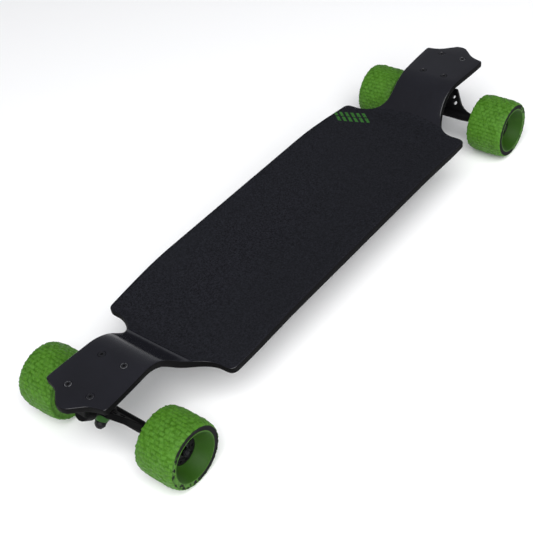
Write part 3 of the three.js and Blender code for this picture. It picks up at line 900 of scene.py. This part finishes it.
for end in ENDS:
    steer = joints[f"steer_{end}"]
    seat, turn_axis = Vector(steer["pos_m"]), Vector(steer["axis"]).normalized()
    down = Vector((1, 0, 0)).cross(turn_axis).normalized()
    down = -down if down.z > 0 else down
    for kind, (slot, look, profile) in stack.items():
        made = soften(turned(f"{kind}_{end}_turned", profile, 48), 0.2 * MM)
        body = None if kind in SQUEEZED else "deck"
        finished(stand(made, seat, down), body, slot, [look.material], f"{kind}_{end}")
        if kind in SQUEEZED:
            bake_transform(made)
    top_nut = nut(f"kingpin_nut_{end}_hex", 8, BORE, 17.8, 24.2, 1.3)
    finished(stand(top_nut, seat, down), "deck", "black_steel", [blackened.material],
             f"kingpin_nut_{end}")
    head = nut(f"kingpin_{end}_head", 7.9, 0.6, -46, -40.3)
    finished(stand(head, seat, down), "deck", "black_steel", [blackened.material])
    ball = seat + turn_axis * PIVOT_DISTANCE
    cup = turned(f"pivot_cup_{end}_turned", [
        (7.6, -2), (9.8, -2), (10.2, -1.6), (10.2, 9.6), (9.8, 10), (0, 10), (0, 7.6), (2.9, 7.02),
        (5.37, 5.37), (7.02, 2.9), (7.6, 0)], 40)
    finished(stand(soften(cup, 0.15 * MM), ball, turn_axis), "deck", "core_nylon", [nylon.material],
             f"pivot_cup_{end}")
print("kingpin stacks made:", len(ENDS))

# %% [markdown]
# The axle is an 8 mm bar, chamfered and threaded at both ends where the wheel nuts hold.

# %% Axles
AXLE_RADIUS, AXLE_ROOT, AXLE_PITCH, AXLE_HALF = 4.0, 3.55, 1.25, 132
end_thread = [(AXLE_ROOT, 112.8), (AXLE_RADIUS, 113.4)]
for i in range(14):
    end_thread += [(AXLE_ROOT, 113.9 + AXLE_PITCH * i), (AXLE_RADIUS, 114.5 + AXLE_PITCH * i)]
half_axle = [(AXLE_RADIUS, 0), (AXLE_RADIUS, 112.3), *end_thread, (3.4, AXLE_HALF), (0, AXLE_HALF)]
axle_line = [(radius, -height) for radius, height in reversed(half_axle)][:-1] + half_axle[1:]
axle = soften(turned("axle", axle_line, 32), 0.05 * MM, 1)
for end in ENDS:
    node = f"axle_{end}"
    finished(stand(twin(axle, f"{node}_bar"), middle(node), (1, 0, 0)), f"hanger_{end}", "bare_steel",
             [bare.material], node)
bpy.data.objects.remove(axle)

# %% [markdown]
# ## Wheels
# Each tyre is one turned casting with a deep cup on both sides, and its tread is a field of small
# staggered blocks that runs over the rounded shoulders. One block is shaped, copied across the
# width and then spun round the wheel.

# %% Tyre body
SHOULDER, RISE_OF_SHOULDER, FLAT_HALF, HALF_TYRE = 44.3, 4.8, 15.0, 32.5


def tread_radius(across):
    """Radius of the tyre's ground under the blocks, and its slope."""
    t = max(0.0, (abs(across) - FLAT_HALF) / (HALF_TYRE - FLAT_HALF))
    t = min(t, 0.995)
    level = SHOULDER + RISE_OF_SHOULDER * math.sqrt(1 - t * t)
    slope = -RISE_OF_SHOULDER * t / ((HALF_TYRE - FLAT_HALF) * math.sqrt(1 - t * t))
    return level, math.copysign(1, across) * slope if across else 0.0


half_tyre = [(21.1, 12.9), (22.4, 13.2), (26, 17.6), (31, 24.2), (35, 29.8), (36.6, 31.8),
             (37.4, 32.4), (38.2, 32.1), (38.6, 31.9), (43.4, 31.9), (43.8, 32.2)]
half_tyre += [(SHOULDER + RISE_OF_SHOULDER * math.sin(math.radians(a)),
               FLAT_HALF + (HALF_TYRE - FLAT_HALF) * math.cos(math.radians(a))) for a in range(4, 91, 8)]
tyre_line = half_tyre + [(radius, -height) for radius, height in reversed(half_tyre)]
tyre = turned("tyre", tyre_line, 96)
soften(tyre, 0.3 * MM, 2, 35)
print("tyre faces:", len(tyre.data.polygons))

# %% Tread blocks
ROWS_ROUND = 48
BLOCK = (3.2, 5.7, 8.3)
PROUD = 0.72
PATTERN_ROWS = 4
OUTER_ROW = 30
EVEN_STARTS = [-30.2, -22.5, -13.5, -4.5, 4.5, 13.5, 22.5, 30.2]
ODD_STARTS = [9 * i for i in range(-3, 4)]
knob = block("knob", BLOCK)
modify(knob, "BEVEL", width=1.45 * MM, segments=2)
# A stored number, 1 on a block's top, 0.45 part way down and 0 at its base, says where the wheel finish
# paints light on the tread.
lift = knob.data.attributes.new("raised", "FLOAT", "POINT")
for point, value in zip(knob.data.vertices, lift.data):
    value.value = 1 if point.co.x > 0.9 * BLOCK[0] / 2 * MM else 0.45 if point.co.x > 0.4 * MM else 0
knobs = []
for row in range(PATTERN_ROWS):
    for across in ODD_STARTS if row % 2 else EVEN_STARTS:
        chance = [(len(knobs) * step) % 1 - 0.5 for step in (0.618, 0.382, 0.755, 0.549)]
        across += 1.5 * chance[2] * (abs(across) < OUTER_ROW)
        level, slope = tread_radius(across)
        lean = math.atan(slope)
        one = twin(knob, "knob_copy")
        outward_way = Vector((math.cos(lean), 0, -math.sin(lean)))
        sunk = PROUD - 0.3 - 0.5 * chance[0] - BLOCK[0] / 2
        centre = Vector((level, 0, across)) + outward_way * sunk
        shrink = 0.62 if abs(across) > OUTER_ROW else 1.0 + 0.16 * chance[3]
        one.data.transform(Matrix.Rotation((row + 0.16 * chance[3]) * math.tau / ROWS_ROUND, 4, "Z")
                           @ Matrix.Translation(centre * MM)
                           @ Matrix.Rotation(lean + 0.32 * chance[2], 4, "Y")
                           @ Matrix.Rotation(0.5 * chance[1], 4, "Z")
                           @ Matrix.Rotation(0.24 * chance[0], 4, "X")
                           @ Matrix.Diagonal((1, 1 + 0.12 * chance[1], shrink, 1)))
        knobs.append(one)
bpy.data.objects.remove(knob)
tread = ring_of(join(knobs, knobs[0]), ROWS_ROUND // PATTERN_ROWS)
join([tread], tyre)
print("tyre with tread:", len(tyre.data.polygons))

# %% [markdown]
# The nylon core holds two bearings. Its visible face has a ring of round pockets. A bearing shows
# its outer race, a dark shield and its inner race.

# %% Cores, bearings and wheel nuts
core = turned("core", [(11.3, 12.6), (11.3, 4.7), (8.5, 4.7), (8.5, -4.7), (11.3, -4.7),
                       (11.3, -12.6), (20.5, -12.6), (20.5, 12.6)], 64)
for low, high in ((8.6, 14), (-14, -8.6)):
    cut_with(core, ring_of(round_bar("pocket", 2.3, low, high, 20, 15.9), 9))
soften(core, 0.3 * MM)

bearing = turned("bearing", [
    (4.3, -3.5), (6.0, -3.5), (6.2, -3.1), (9.2, -3.1), (9.4, -3.5), (10.7, -3.5), (11, -3.2), (11, 3.2),
    (10.7, 3.5), (9.4, 3.5), (9.2, 3.1), (6.2, 3.1), (6.0, 3.5), (4.3, 3.5)], 48)
for face in bearing.data.polygons:
    centre = face.center / MM
    face.material_index = 1 if 6.3 < math.hypot(centre.x, centre.y) < 9.1 else 0
smooth(bearing)
wheel_nut = nut("wheel_nut", 7.4, 4.3, -2.7, 1.5, 1.2)
print("core faces:", len(core.data.polygons))

# %% Set out the four wheels
for end in ENDS:
    for hand in HANDS:
        tag, body = f"{end}_{hand}", f"wheel_{end}_{hand}"
        hub = middle(f"tyre_{tag}")
        way = Vector((math.copysign(1, hub.x), 0, 0))
        finished(stand(twin(tyre, f"tyre_{tag}_knobby"), hub, way), body, "wheel_urethane",
                 [urethane.material], f"tyre_{tag}")
        finished(stand(twin(core, f"core_{tag}"), hub, way), body, "core_nylon",
                 [nylon.material], f"wheel_core_{tag}")
        for place in ("inner", "outer"):
            node = f"bearing_{place}_{tag}"
            finished(stand(twin(bearing, f"{node}_races"), middle(node), way), body, "bare_steel",
                     [bare.material, shield.material], node)
        node = f"axle_nut_{tag}"
        finished(stand(twin(wheel_nut, f"{node}_hex"), middle(node), way), f"hanger_{end}", "bare_steel",
                 [bare.material], node)
for model in (tyre, core, bearing, wheel_nut):
    bpy.data.objects.remove(model)
print("wheels set out")

# %% [markdown]
# ## Last update

# %% Update the view layer and finish
bpy.context.view_layer.update()
